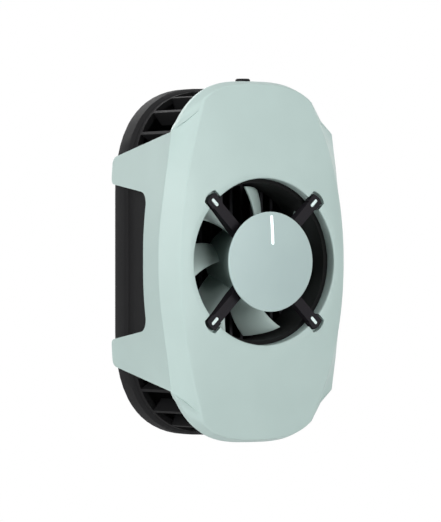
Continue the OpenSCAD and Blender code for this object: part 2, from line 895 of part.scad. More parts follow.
// Finned heat sink whose fins run lengthwise, cut to follow the housing
module heat_sink() {
    pitch = (core_w - 2 * (vent_step + rib_d) - 2.6) / (fin_count - 1);
    color([0.2, 0.2, 0.21])
        stand()
            difference() {
                union() {
                    intersection() {
                        core_prism(vent_step + rib_d + 0.5, 0, far);
                        union() {
                            block(-20, 20, -post_y - 3.4, post_y + 3.4, sink_z, fin_z);
                            for (i = [0:fin_count - 1])
                                translate([(i - (fin_count - 1) / 2) * pitch, 0, 0])
                                    block(-fin_t / 2, fin_t / 2, -post_y - 3.4, post_y + 3.4,
                                        fin_z - eps, fin_top);
                        }
                    }
                }
                four_corners(boss_x, boss_y)
                    disc(boss_r + 0.5, 0, far);
                four_corners(post_x, post_y) {
                    disc(1, 0, far);
                    disc(2.6, fin_z, far);
                }
            }
}

// Four screws that hold the heat sink down on the rear cover's posts
module sink_screws() {
    color([0.6, 0.6, 0.62])
        stand()
            four_corners(post_x, post_y)
                difference() {
                    union() {
                        disc(1.8, fin_z, fin_z + 1.2);
                        disc(0.75, sink_z - 3, fin_z + 0.1);
                    }
                    for (a = [0, 90])
                        rotate(a)
                            block(-1, 1, -0.2, 0.2, fin_z + 0.6, fin_z + 2);
                }
}

module hot_ceramic() {
    color([0.92, 0.92, 0.9])
        stand()
            plate(tec_w, tec_w, 0.5, sink_z - ceramic_t, sink_z);
}

module cold_ceramic() {
    color([0.92, 0.92, 0.9])
        stand()
            plate(tec_w, tec_w, 0.5, plate_z, plate_z + ceramic_t);
}

// Semiconductor legs between the two ceramics
module module_legs() {
    pitch = (tec_w - 2) / leg_count;
    color([0.5, 0.5, 0.54])
        stand()
            for (i = [0:leg_count - 1], j = [0:leg_count - 1])
                translate([(i - (leg_count - 1) / 2) * pitch, (j - (leg_count - 1) / 2) * pitch, 0])
                    block(-pitch / 4, pitch / 4, -pitch / 4, pitch / 4,
                        plate_z + ceramic_t, sink_z - ceramic_t);
}

// Two insulated leads from the module under the sink and up to the power board
module module_leads() {
    bend = 2;
    color([0.5, 0.1, 0.1])
        stand()
            for (s = [-1, 1])
                translate([s * lead_x, 0, 0]) {
                    translate([0, -tec_w / 2 - 0.2, lead_z])
                        rotate([90, 0, 0])
                            cylinder(r = lead_r, h = lead_y - bend - tec_w / 2 - 0.2);
                    translate([0, -lead_y + bend, lead_z + bend])
                        rotate([0, -90, 0])
                            rotate(180)
                                rotate_extrude(angle = 90)
                                    translate([bend, 0])
                                        circle(lead_r);
                    disc_at(-lead_y, lead_r, lead_z + bend, board_z);
                }
}

module disc_at(y, r, z0, z1) {
    translate([0, y, z0])
        cylinder(r = r, h = z1 - z0);
}

// Foam that keeps the module's rim dry
module foam_frame() {
    color([0.2, 0.2, 0.22])
        stand()
            difference() {
                plate(plate_w - 0.2, plate_w - 0.2, 2, plate_z, sink_z - 0.6);
                plate(tec_w + 0.5, tec_w + 0.5, 0.6, plate_z - 1, sink_z + 1);
                for (s = [-1, 1])
                    block(s * lead_x - 1, s * lead_x + 1, -far, 0, lead_z - 1, far);
            }
}

// Aluminium plate that takes the heat from the phone
module cold_plate() {
    color([0.78, 0.79, 0.8])
        stand() {
            plate(foot_w, foot_w, 2.7, pad_t, floor_z);
            plate(plate_w, plate_w, 3, floor_z, plate_z);
        }
}

module contact_pad() {
    color([0.5, 0.52, 0.54])
        stand()
            plate(foot_w - 1, foot_w - 1, 2.4, 0, pad_t);
}

// Two arcs of magnets that hold the cooler on a ring behind the phone's back
magnet_step = 96 / magnet_count;
module magnets() {
    color([0.7, 0.71, 0.73])
        stand()
            both_ends()
                for (k = [0:magnet_count - 1])
                    rotate(42 + k * magnet_step)
                        arc(magnet_step - 0.8, floor_z, floor_z + magnet_t);
}

module magnet_yokes() {
    color([0.5, 0.5, 0.52])
        stand()
            both_ends()
                rotate(42)
                    arc(96 - 0.8, floor_z + magnet_t, floor_z + magnet_t + 0.6);
}

module arc(angle, z0, z1) {
    rotate_extrude(angle = angle)
        translate([magnet_r, z0])
            square([magnet_w, z1 - z0]);
}

module power_board() {
    color([0.1, 0.12, 0.11])
        stand()
            union() {
                block(-8, 8, -board_far, -board_near, board_z, board_top);
                block(-6.4, 6.4, -inlet_end + 2.6, -board_far + 1, board_z, board_top);
            }
}

// Steel shell of the power inlet, open at the lower end
module power_inlet() {
    color([0.7, 0.7, 0.72])
        stand()
            translate([0, -inlet_end, inlet_z])
                rotate([-90, 0, 0])
                    difference() {
                        bar(inlet_w, inlet_h, 0, inlet_len);
                        bar(inlet_w - 0.6, inlet_h - 0.6, -1, inlet_len - 0.4);
                    }
}

module inlet_tongue() {
    color([0.12, 0.12, 0.13])
        stand()
            translate([0, -inlet_end, inlet_z])
                rotate([-90, 0, 0]) {
                    translate([0, 0, 1])
                        linear_extrude(inlet_len - 3)
                            square([6.7, 0.7], center = true);
                    bar(inlet_w - 0.7, inlet_h - 0.7, inlet_len - 2.2, inlet_len - 0.4);
                }
}

module switch_board() {
    color([0.1, 0.12, 0.11])
        stand()
            union() {
                block(-7, 7, board_near, board_far, board_z, board_top);
                block(-2.6, 2.6, board_far - 1, switch_y + 0.2, board_z, board_top);
            }
}

// Side-acting key switch under the power button
module key_switch() {
    color([0.2, 0.2, 0.21])
        stand()
            difference() {
                block(-2.2, 2.2, switch_y - 3, switch_y, board_top, button_z + 1.6);
                translate([0, switch_y + 1, button_z])
                    rotate([90, 0, 0])
                        cylinder(r = 0.8 + 0.15, h = 2.5 + button_travel);
            }
}

module switch_plunger() {
    color([0.5, 0.45, 0.3])
        stand()
            translate([0, plunger_y, button_z])
                rotate([90, 0, 0])
                    cylinder(r = 0.8, h = 2.1);
}

// Round push button at the top end, kept in by its collar
module power_button() {
    color([0.13, 0.13, 0.14])
        stand()
            translate([0, 0, button_z])
                rotate([-90, 0, 0]) {
                    disc(button_r, flange_y - 0.4, button_end - 0.3);
                    translate([0, 0, button_end - 0.3 - eps])
                        cylinder(r1 = button_r, r2 = button_r - 0.3, h = 0.3 + eps);
                    disc(button_r + 0.7, flange_y - 0.7, flange_y);
                    disc(1.1, plunger_y, flange_y - 0.3);
                }
}

front_cover();
hub_cap();
light_bar();
fan_spider();
motor_board();
light_chip();
bearing_sleeve();
stator_core();
stator_coils();
fan_wheel();
rotor_yoke();
rotor_magnet();
fan_shaft();
shaft_clip();
fan_deck();
vent_frame();
rear_cover();
case_screws();
heat_sink();
sink_screws();
hot_ceramic();
cold_ceramic();
module_legs();
module_leads();
foam_frame();
cold_plate();
contact_pad();
magnets();
magnet_yokes();
power_board();
power_inlet();
inlet_tongue();
switch_board();
key_switch();
switch_plunger();
power_button();
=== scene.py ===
import math

import bmesh
import bpy
from mathutils import Matrix, Vector


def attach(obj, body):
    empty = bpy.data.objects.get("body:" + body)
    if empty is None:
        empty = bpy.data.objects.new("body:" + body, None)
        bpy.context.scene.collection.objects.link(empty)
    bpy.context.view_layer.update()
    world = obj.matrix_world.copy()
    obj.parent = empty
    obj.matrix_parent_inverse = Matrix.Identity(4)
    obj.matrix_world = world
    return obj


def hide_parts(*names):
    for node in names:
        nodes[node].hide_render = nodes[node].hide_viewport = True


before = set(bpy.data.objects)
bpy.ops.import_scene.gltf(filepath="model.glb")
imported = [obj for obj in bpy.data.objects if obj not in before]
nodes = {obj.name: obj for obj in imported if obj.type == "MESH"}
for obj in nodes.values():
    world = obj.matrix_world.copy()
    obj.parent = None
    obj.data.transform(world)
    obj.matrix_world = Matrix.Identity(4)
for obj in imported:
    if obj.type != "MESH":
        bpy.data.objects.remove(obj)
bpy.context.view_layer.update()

# Sizes in millimetres and degrees, close to the part's source: x across, y up, z out of the fan's face.
MM = 0.001

# Outline of the shell
SHELL_H = 92.5
SHELL_W = 53.2
SHELL_N = 3.05  # power of its squarish oval
WING_W = 56.4  # across the wings at mid-height
WING_BOW = 100.0  # radius of the wings' arc
BOW_REACH = 14.0  # how far up the arc goes before the wings run straight
WING_REACH = 33.0  # how far up the wings go
SHOULDER = 2.6  # height of the step from wing to end
WING_DIP = 0.5  # how far the wings' edge sinks at mid-height
DIP_REACH = 25.0

# Face of the shell
FACE_W = 49.5  # across the crease at mid-height
FACE_BOW = 106.0  # radius of the crease along a side
FACE_INSET = 0.8  # from the outline to the crease around the ends
LEAF_REACH = 38.8  # how far up the crease the leaf-shaped facet's tip lies
LEAF_NECK = 0.39  # how much of the crease the shoulder's columns share
DROOP = 0.5  # extra fall of the face at its sides
DROOP_FROM = 20.0
CROWN_R = 220.0
OPENING_R = 21.3

# Heights of the shell
RIM_Z = 35.3  # rim of the opening
COLLAR_Z = 31.9  # inner end of the opening's wall
WING_Z = 29.3  # edge of the wings
END_Z = 28.7  # edge around the ends
SKIRT_Z = 27.8  # lower edge of the skirt
WING_END_Z = 28.9  # the same where a wing ends
SKIRT_DIP = 0.8  # how far it sinks past the shoulder
SKIRT_CURVE = 4  # how late it rises along the wing

# Wall and soft edges of the shell
WALL_T = 1.3
WALL_EDGE = 0.15
WALL_SHARP = 50
BROW_W = 1.45  # brow around the opening
BROW_H = 0.2  # how far the brow falls towards the opening
BROW_SOFT = 0.3
RIM_SOFT = 0.45
CREASE_SOFT = 0.45
CREASE_SOFTER = 1.1  # added to it towards the shoulder
EDGE_SOFT = 0.25

# Arms
STRIP_Z = 21.6  # lower edge of the wall beside the window
ARM_DROP = 0.6  # how much lower that edge is at an arm's root
ARM_Z = 2.2  # tips of the arms
ARM_SLANT = 0.5  # how much shorter a tip is at its lower edge
ARM_FILLET = 3.0
ARM_TIP_R = 1.4
ARM_ROOT_Y = 17.45  # lower edge at the root
ARM_TIP_Y = 20.15  # lower edge at the tip
ARM_TOP_Y = 26.85  # upper edge at the tip
ARM_WING_Y = 33.0  # upper edge where it meets the wing
ARM_WING_Z = 29.5

# Notches for the spider's tabs
NOTCH_END = 24.2  # from the fan's axis
NOTCH_HALF = 2.25  # half the width
NOTCH_BOW = 3.8  # radius of the bowed end
TAB_Z = 33.3  # back of the tabs
STRUT_Z = 35.2  # front of the spider's struts

# Seats in the notches
SEAT_HALF = 2.9  # half the width
SEAT_T = 1.0  # floor
SEAT_WALL = 0.7  # end wall
SEAT_RISE = 0.8  # walls above the floor
SEAT_SINK = 0.5  # walls below its front
SEAT_LAP = 0.2  # side walls past the notch's end
SEAT_SLIP = 0.02  # walls outside the notch
SEAT_STEP = 0.1  # each part starts this far behind the last, so that no faces coincide
SEAT_EDGE = 0.1
BLOCK_T = 1.0  # block under a tab
BLOCK_HALF = 1.2

# Pegs in the tabs' slots
PEG_LEN = 2.5
PEG_W = 0.9
PEG_SINK = 0.5  # into the seat
PEG_LOW = 0.1  # below the struts' front
PEG_EDGE = 0.12

# Hub of the fan wheel
WHEEL_Z = 20.5  # back
WHEEL_TOP = 31.7  # front
HUB_R = 9.0
BACK_ROUND = 0.5
BACK_BEND = 0.15  # from the corner's sides to the middle of its rounding
FRONT_ROUND = 0.3
FRONT_BEND = 0.1
YOKE_R = 8.1  # steel yoke in the hub's well
YOKE_SLIP = 0.05
HUB_FLOOR = 1.4
BOSS_R = 2.4
BOSS_H = 3.2
BORE_R = 1.01

# Blades of the fan wheel
BLADES = 7
TIP_R = 19.4
BLADE_SPAN = 31  # angle that a blade takes up at the hub
TIP_SPAN = 24.0  # and at its tip
BLADE_SWEEP = 17.2  # how far its tip is turned ahead of its root
BLADE_TURN = 77  # where the first blade starts
BLADE_H = 6.8
BLADE_RISE = 0.4  # above the hub's back
BLADE_CURVE = 1.6  # power of its slope
BLADE_T = 1.1  # height of its edge
BLADE_THIN = 0.35  # share of that lost towards the tip
BLADE_SKIN = 0.7  # wall
BLADE_ROOT = 0.3  # depth in the hub
BLADE_EDGE = 0.25
RIM_ANGLE = 60  # edges sharper than this are rounded

# Hub disc
CUP_Z = 37.3  # front of the motor's cup
CAP_R = 12.75
CAP_EDGE = 0.65  # height of the rim
CAP_DOME = 0.9  # rise of the middle
CAP_ROUND = 0.3
CAP_CHAMFER = 0.15
RING_OUT = 7.3  # locating ring behind the disc
RING_IN = 6.1
RING_H = 0.9

# Light bar
BAR_LEN = 7.5
BAR_W = 0.8
BAR_EDGE = 0.9  # from the disc's edge
BAR_PROUD = 0.05
BAR_DEEP = 0.6

# Painted shade on the land around the duct's mouth
LAND_Z = 31.7
LAND_FADE = 0.4

# Rounded edges of the black pieces
EDGE_ROUNDS = {"fan_spider": 0.25, "rear_cover": 0.2, "vent_frame": 0.12, "power_button": 0.08}


def at(x, y, z):
    """A point across, up and out of the fan's face, as a place in the row's frame."""
    return Vector((x, -z, y)) * MM


def sag(x, r):
    """How far an arc of a radius falls away at a distance from its middle."""
    return r - math.sqrt(r * r - x * x)


# Materials
DRIFT_MM = 14
# Most values of a noise lie between these.
NOISE_LOW, NOISE_HIGH = 0.3, 0.7


def colour(code):
    """Linear colour of an sRGB hex value."""
    parts = [int(code[i:i + 2], 16) / 255 for i in (1, 3, 5)]
    return [c / 12.92 if c <= 0.04045 else ((c + 0.055) / 1.055) ** 2.4 for c in parts] + [1.0]


def add(tree, kind, values=None, links=None, **settings):
    """Adds a node with its settings and socket values, and links other nodes' sockets into it."""
    node = tree.nodes.new(kind)
    for name, value in settings.items():
        setattr(node, name, value)
    for name, value in (values or {}).items():
        node.inputs[name].default_value = value
    for name, (other, socket) in (links or {}).items():
        tree.links.new(other.outputs[socket], node.inputs[name])
    return node


def finish(name, deep, pale, rough, grit_mm, relief_mm, sockets=None, spread=0.05, stretch=(1, 1, 1)):
    """A solid finish: slow drift between two tones, and a grit that shows in roughness and relief.

    A real mould's grit is finer than the picture can show, so it is drawn as coarse as it needs to show.
    """
    mat = bpy.data.materials.new(name)
    mat.use_nodes = True
    tree = mat.node_tree
    tree.nodes.clear()
    place = add(tree, "ShaderNodeTexCoord")
    turned = add(tree, "ShaderNodeMapping", {"Scale": stretch}, {"Vector": (place, "Object")})
    drift = add(tree, "ShaderNodeTexNoise", {"Scale": 1 / (DRIFT_MM * MM), "Detail": 2.0},
                {"Vector": (place, "Object")})
    tone = add(tree, "ShaderNodeValToRGB", links={"Fac": (drift, "Fac")})
    tone.color_ramp.elements[0].position = NOISE_LOW
    tone.color_ramp.elements[0].color = colour(deep)
    tone.color_ramp.elements[1].position = NOISE_HIGH
    tone.color_ramp.elements[1].color = colour(pale)
    grit = add(tree, "ShaderNodeTexNoise", {"Scale": 1 / (grit_mm * MM), "Detail": 3.0},
               {"Vector": (turned, "Vector")})
    gloss = add(tree, "ShaderNodeMapRange",
                {"From Min": NOISE_LOW, "From Max": NOISE_HIGH,
                 "To Min": rough - spread, "To Max": rough + spread},
                {"Value": (grit, "Fac")})
    bump = add(tree, "ShaderNodeBump", {"Strength": 0.6, "Distance": relief_mm * MM},
               {"Height": (grit, "Fac")})
    surface = add(tree, "ShaderNodeBsdfPrincipled", sockets,
                  {"Base Color": (tone, "Color"), "Roughness": (gloss, "Result"),
                   "Normal": (bump, "Normal")})
    add(tree, "ShaderNodeOutputMaterial", links={"Surface": (surface, "BSDF")})
    return mat


def paint_land_shade(mat, tone):
    """Mixes painted shade, a deeper tone, into a finish on the narrow land around the duct's mouth."""
    tree = mat.node_tree
    surface = next(node for node in tree.nodes if node.type == "BSDF_PRINCIPLED")
    grained = surface.inputs["Base Color"].links[0].from_node
    place = add(tree, "ShaderNodeTexCoord")
    outward = add(tree, "ShaderNodeSeparateXYZ", links={0: (place, "Object")})
    # Painted shade: the deeper tone fades in towards the duct's mouth.
    land = add(tree, "ShaderNodeMapRange",
               {"From Min": -LAND_Z * MM, "From Max": (LAND_FADE - LAND_Z) * MM,
                "To Min": 1.0, "To Max": 0.0},
               {"Value": (outward, "Y")})
    # A colour mix has its factor at socket 0, its two colours at 6 and 7, and its result at 2.
    mixed = add(tree, "ShaderNodeMix", {7: colour(tone)}, {0: (land, "Result"), 6: (grained, "Color")},
                data_type="RGBA")
    tree.links.new(mixed.outputs[2], surface.inputs["Base Color"])


# Moulded ABS with a fine spark-eroded skin: soft, even sheen and almost no tone drift.
mint_abs = finish("mint_abs_satin_moulded", "#B8CCC8", "#BCD0CC", rough=0.46, grit_mm=0.3,
                  relief_mm=0.006, sockets={"IOR": 1.53, "Specular IOR Level": 0.35})
# The wheel is the same plastic from a polished mould, so its blades show smoother gradients;
# its colour is painted a shade lighter than the shell, as painted light deep in the duct.
mint_wheel_painted_light = finish("mint_abs_fan_painted_light", "#BED2CD", "#C4D8D3", rough=0.36, grit_mm=0.4,
                    relief_mm=0.004, sockets={"IOR": 1.53, "Specular IOR Level": 0.4})
# The wheel's hub comes from a blasted part of its mould, so it is dull; its colour is painted a good deal
# darker, as painted shade under the hub disc.
mint_hub_painted_shade = finish("mint_abs_hub_painted_shade", "#8EA29D", "#94A8A3", rough=0.6, grit_mm=0.4,
                  relief_mm=0.006, sockets={"IOR": 1.53, "Specular IOR Level": 0.2})
# The hub disc: a shade darker, greyer and bluer than the shell.
mint_disc = finish("mint_abs_disc_moulded", "#AFC3C2", "#B4C8C6", rough=0.42, grit_mm=0.3,
                   relief_mm=0.005, sockets={"IOR": 1.53, "Specular IOR Level": 0.35})
# Pegs of the shell, polished by the mould's pin, so they are glossier; their colour is painted nearly
# white, as a painted highlight.
mint_peg_painted_highlight = finish("mint_abs_peg_painted_highlight", "#EAFFFC", "#F0FFFD", rough=0.3, grit_mm=0.3,
                  relief_mm=0.003, sockets={"IOR": 1.53, "Specular IOR Level": 0.5})
# Black ABS with a textured mould skin: a soft, dull black.
black_abs = finish("black_abs_textured", "#232324", "#282829", rough=0.6, grit_mm=0.25,
                   relief_mm=0.012, sockets={"IOR": 1.53, "Specular IOR Level": 0.05})
# The vent frame's black is painted darker than the housing, as painted shade, so its walls and ribs stay
# darker.
black_frame_painted_shade = finish("black_abs_frame_painted_shade", "#1A1A1B", "#1E1E1F", rough=0.6, grit_mm=0.25,
                     relief_mm=0.012, sockets={"IOR": 1.53, "Specular IOR Level": 0.06})
# Glass-filled black nylon of the spider: a touch warmer and smoother than the housing.
black_nylon = finish("black_glass_filled_nylon", "#1A181C", "#1F1D21", rough=0.42, grit_mm=0.22,
                     relief_mm=0.01, sockets={"IOR": 1.53, "Specular IOR Level": 0.1})
# Inside of the duct: a dull grained black, painted a shade lighter than the housing as painted light in the
# recess.
# The land around its mouth gets painted shade, a deeper black mixed in, so it stays deep black in the front
# light.
black_duct_painted_light_and_shade = finish("black_abs_duct_painted_light_and_shade", "#2B2C2C", "#303131", rough=0.7, grit_mm=0.3,
                    relief_mm=0.01, sockets={"IOR": 1.5, "Specular IOR Level": 0.1})
paint_land_shade(black_duct_painted_light_and_shade, "#0F1010")
# Opal acrylic light guide with its lamp on: an even white glow.
light_guide = finish("opal_acrylic_lit", "#F2FBFB", "#F8FFFF", rough=0.3, grit_mm=0.5, relief_mm=0.002,
                     sockets={"IOR": 1.49, "Emission Color": colour("#F8FFFF"), "Emission Strength": 0.55})
# Black solder mask over fibreglass: smooth, half-gloss and faintly uneven.
solder_mask = finish("fibreglass_black_solder_mask", "#0F1412", "#151B18", rough=0.32, grit_mm=0.5,
                     relief_mm=0.01, sockets={"IOR": 1.52})
# Clear resin over a yellow phosphor: pale yellow and glossy.
led_resin = finish("led_phosphor_resin", "#EDE2AE", "#F5ECC4", rough=0.2, grit_mm=0.3,
                   relief_mm=0.003, sockets={"IOR": 1.5})
# Black anodised extruded aluminium: dark, painted a shade lighter than the housing as painted light inside
# the vents, with a satin sheen drawn along the fins.
black_anodised_painted_light = finish("aluminium_black_anodised", "#26262A", "#2C2C30", rough=0.42, grit_mm=0.2,
                        relief_mm=0.008, sockets={"Metallic": 0.6}, stretch=(1, 1, 0.06))
# Bead-blasted clear-anodised aluminium: grey, soft and sparkly.
blasted_aluminium = finish("aluminium_bead_blasted", "#C0C2C5", "#CACCCE", rough=0.38, grit_mm=0.22,
                           relief_mm=0.012, sockets={"Metallic": 1.0})
# Zinc-plated steel: bluish bright with small cloudy patches.
zinc_steel = finish("steel_zinc_plated", "#9FA2A8", "#B4B7BC", rough=0.3, grit_mm=0.5,
                    relief_mm=0.006, sockets={"Metallic": 1.0})
# Centreless-ground steel: bright with hairlines round the shaft.
ground_steel = finish("steel_ground", "#B9BCC0", "#C6C9CC", rough=0.2, grit_mm=0.12,
                      relief_mm=0.003, sockets={"Metallic": 1.0}, stretch=(0.2, 1, 0.2))
# Stacked electrical steel: grey with fine layer lines.
laminated_steel = finish("steel_laminated", "#6C6E72", "#7E8084", rough=0.45, grit_mm=0.35,
                         relief_mm=0.02, sockets={"Metallic": 1.0}, stretch=(0.05, 1, 0.05))
# Nickel-plated sintered magnet: warm mirror, slightly orange-peeled.
nickel_magnet = finish("magnet_nickel_plated", "#B7B3AA", "#C6C2B9", rough=0.16, grit_mm=0.6,
                       relief_mm=0.006, sockets={"Metallic": 1.0})
# Bonded ferrite: charcoal, dusty.
ferrite = finish("ferrite_bonded", "#2A2828", "#343231", rough=0.7, grit_mm=0.25, relief_mm=0.02,
                 sockets={"IOR": 1.8})
# Sintered bronze with oil in its pores: brown, dull.
bronze = finish("bronze_sintered", "#7C5A35", "#8E6A40", rough=0.5, grit_mm=0.18, relief_mm=0.02,
                sockets={"Metallic": 1.0})
# Enamelled copper wire, wound side by side: warm red-brown with fine ridges.
copper_wire = finish("copper_enamelled_wound", "#9A4F26", "#B5632F", rough=0.3, grit_mm=0.25,
                     relief_mm=0.06, sockets={"Metallic": 1.0}, stretch=(1, 0.15, 1))
# Fired alumina: chalky white.
alumina = finish("alumina_fired", "#E4E4DF", "#ECECE8", rough=0.6, grit_mm=0.25, relief_mm=0.008,
                 sockets={"IOR": 1.76})
# Sliced thermoelectric crystal: dark grey metal.
telluride = finish("bismuth_telluride_sliced", "#5C5D63", "#6C6D73", rough=0.4, grit_mm=0.2,
                   relief_mm=0.01, sockets={"Metallic": 0.8})
# Silicone lead insulation: dark red and rubbery.
red_silicone = finish("silicone_lead_red", "#6E1414", "#7C1A19", rough=0.5, grit_mm=0.3,
                      relief_mm=0.008, sockets={"IOR": 1.41})
# Closed-cell foam: charcoal with open pores on its cut face.
cell_foam = finish("eva_foam_cut", "#2C2C2F", "#38383B", rough=0.85, grit_mm=0.35, relief_mm=0.06,
                   sockets={"IOR": 1.4})
# Filled silicone pad: soft grey, dull, with a faint cast texture.
silicone_pad = finish("silicone_thermal_pad_cast", "#7C8187", "#868B91", rough=0.6, grit_mm=0.4,
                      relief_mm=0.02, sockets={"IOR": 1.41})
# Moulded nylon of the switch and the inlet's tongue: black with a low sheen.
black_switch = finish("nylon_black_moulded", "#1A1A1B", "#202021", rough=0.45, grit_mm=0.25,
                      relief_mm=0.01, sockets={"IOR": 1.53})
# Moulded acetal of the switch's plunger: tan and a little waxy.
tan_acetal = finish("acetal_tan_moulded", "#8B7448", "#967F52", rough=0.4, grit_mm=0.25,
                    relief_mm=0.008, sockets={"IOR": 1.48})

finishes = {
    "front_cover": mint_abs, "hub_cap": mint_disc, "light_bar": light_guide,
    "fan_spider": black_nylon, "motor_board": solder_mask, "light_chip": led_resin,
    "bearing_sleeve": bronze, "stator_core": laminated_steel, "stator_coils": copper_wire,
    "fan_wheel": mint_wheel_painted_light, "rotor_yoke": zinc_steel, "rotor_magnet": ferrite,
    "fan_shaft": ground_steel, "shaft_clip": zinc_steel, "fan_deck": black_duct_painted_light_and_shade,
    "vent_frame": black_frame_painted_shade, "rear_cover": black_abs, "case_screws": zinc_steel,
    "heat_sink": black_anodised_painted_light, "sink_screws": zinc_steel, "hot_ceramic": alumina,
    "cold_ceramic": alumina, "module_legs": telluride, "module_leads": red_silicone,
    "foam_frame": cell_foam, "cold_plate": blasted_aluminium, "contact_pad": silicone_pad,
    "magnets": nickel_magnet, "magnet_yokes": zinc_steel, "power_board": solder_mask,
    "power_inlet": zinc_steel, "inlet_tongue": black_switch, "switch_board": solder_mask,
    "key_switch": black_switch, "switch_plunger": tan_acetal, "power_button": black_abs}
for name, mat in finishes.items():
    nodes[name].data.materials.clear()
    nodes[name].data.materials.append(mat)


# Pieces
SHARP_ANGLE = 35
DISC_SHARP = 40
WHEEL_SHARP = 50
FLAT_ANGLE = 0.5  # faces closer than this to one plane are joined
WELD_MM = 0.002
SEAM_MM = 0.001


def piece(name, bm, mat, body, replaced=()):
    """Turns a bmesh into a piece that rides on a body and stands for the named nodes."""
    mesh = bpy.data.meshes.new(name)
    bm.to_mesh(mesh)
    bm.free()
    for face in mesh.polygons:
        face.use_smooth = True
    mesh.materials.append(mat)
    obj = bpy.data.objects.new(name, mesh)
    bpy.context.scene.collection.objects.link(obj)
    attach(obj, body)
    if replaced:
        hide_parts(*replaced)
    return obj


def soft_edges(obj, width_mm, angle=SHARP_ANGLE):
    """Rounds a piece's hard edges and evens its shading."""
    bevel = obj.modifiers.new("edge_round", "BEVEL")
    bevel.width = width_mm * MM
    bevel.segments = 2
    bevel.limit_method = "ANGLE"
    bevel.angle_limit = math.radians(angle)
    bevel.use_clamp_overlap = True
    even = obj.modifiers.new("even_shading", "WEIGHTED_NORMAL")
    even.keep_sharp = True


def moulded_copy(node, width_mm, body):
    """Merged copy of a node's mesh with its flat faces joined and its edges rounded."""
    bm = bmesh.new()
    bm.from_mesh(nodes[node].data)
    bmesh.ops.remove_doubles(bm, verts=bm.verts, dist=WELD_MM * MM)
    bmesh.ops.dissolve_limit(bm, angle_limit=math.radians(FLAT_ANGLE), verts=bm.verts, edges=bm.edges)
    obj = piece(node + "_moulded", bm, finishes[node], body, [node])
    obj.data.set_sharp_from_angle(angle=math.radians(SHARP_ANGLE))
    soft_edges(obj, width_mm)


# Front shell: rings of columns grow outward from the fan's opening, over the face and down the walls.
# A quarter's columns are counted from the middle of a side to the middle of an end.
QUARTER = 48
AROUND = 4 * QUARTER
SIDE = 27  # last column of the wing
NECK = 32  # last column of the shoulder
ARM_FROM = 12  # first column of an arm
NOTCH = range(20, 29)
NOTCH_MID = 24
HOLLOW_COLUMNS = 7  # reach of the flank's hollow from the wing's end
CREASE_COLUMNS = 12  # reach of the softer crease from there
DIP_COLUMNS = 7  # reach of the skirt's dip past the shoulder
# The wing ends in a lip over a groove, with a leaf-shaped facet beyond it: shares across the shoulder.
SHOULDER_SHARES = (0.02, 0.1, 0.2, 0.55, 1)
GROOVE = {SIDE + 2: 0.45, SIDE + 3: 0.2}
HOLLOW = 0.85
GROOVE_WAY = Vector((-0.5, -0.3, -0.8))
# Rings on the way from the brow to the face's edge, and how far roundings may reach along a slope
NEAR_SHARE = 0.12
FACE_SHARES = (0.14, 0.3, 0.5)
HALF_WAY = 0.5
CREASE_INWARD = 0.45
CREASE_OUTWARD = 0.85
# Rows of an arm, closer together along its root's fillet and its tip's round corners
ROWS_BELOW_ROOT = (0.12, 0.4, 0.9, 1.6, 2.3, 3, 6, 9.5, 13)
ROWS_ABOVE_TIP = (3, 1.4, 0.85, 0.42, 0.13, 0)
half_h, half_w = SHELL_H / 2, SHELL_W / 2
crown_z = RIM_Z + sag(OPENING_R, CROWN_R)
arm_root_z = STRIP_Z - ARM_DROP


def lie(x, y):
    """Point over a place on the crowned face, which droops towards its sides."""
    droop = DROOP * (max(abs(x) - DROOP_FROM, 0) / (FACE_W / 2 - DROOP_FROM)) ** 2
    return Vector((x, y, crown_z - sag(math.hypot(x, y), CROWN_R) - droop))


def outline_angles(h, reach, length):
    """Angles of one quarter's columns: up the side, over the shoulder and around the end."""
    def side(y):
        return math.asin((y / h) ** (SHELL_N / 2))
    end = side(reach + length)
    return ([side(reach * i / SIDE) for i in range(SIDE + 1)]
            + [side(reach + length * share) for share in SHOULDER_SHARES]
            + [end + (math.pi / 2 - end) * i / (QUARTER - NECK) for i in range(1, QUARTER - NECK + 1)])


def oval(a, b, t):
    """Point at an angle of the shell's squarish oval."""
    return a * max(math.cos(t), 0) ** (2 / SHELL_N), b * math.sin(t) ** (2 / SHELL_N)


outer_angles = outline_angles(half_h, WING_REACH, SHOULDER)
face_angles = outline_angles(half_h - FACE_INSET, LEAF_REACH, LEAF_NECK)


def wing_half(y):
    """Half-width across the wings: an arc at mid-height, then straight."""
    b = min(y, BOW_REACH)
    return WING_W / 2 - sag(b, WING_BOW) - (y - b) * math.tan(math.asin(b / WING_BOW))


def outer_edge(i):
    """Outermost edge: along the wing, over the shoulder and around the end."""
    x, y = oval(half_w, half_h, outer_angles[i])
    share = min(max((WING_REACH + SHOULDER - y) / SHOULDER, 0), 1)
    z = END_Z + share * (WING_Z - END_Z) - WING_DIP * max(0, 1 - (y / DIP_REACH) ** 2)
    return Vector((max(x, x + share * (wing_half(y) - x)), y, z))


def face_edge(i):
    """Crease where the face turns into the flank."""
    x, y = oval(half_w - FACE_INSET, half_h - FACE_INSET, face_angles[i])
    return lie(min(x, FACE_W / 2 - sag(y, FACE_BOW)), y)


def flank(i):
    """Middle of the slope from the face's edge to the outer edge, hollowed towards the leaf's groove."""
    hollow = HOLLOW * max(0, 1 - abs(i - SIDE) / HOLLOW_COLUMNS)
    return face_edge(i).lerp(outer_edge(i), 0.5) + (hollow + GROOVE.get(i, 0)) * GROOVE_WAY


def notch_aside(i):
    """How far a notch's column lies from the notch's middle line."""
    return (i - NOTCH_MID) / (NOTCH_MID - NOTCH[0]) * NOTCH_HALF


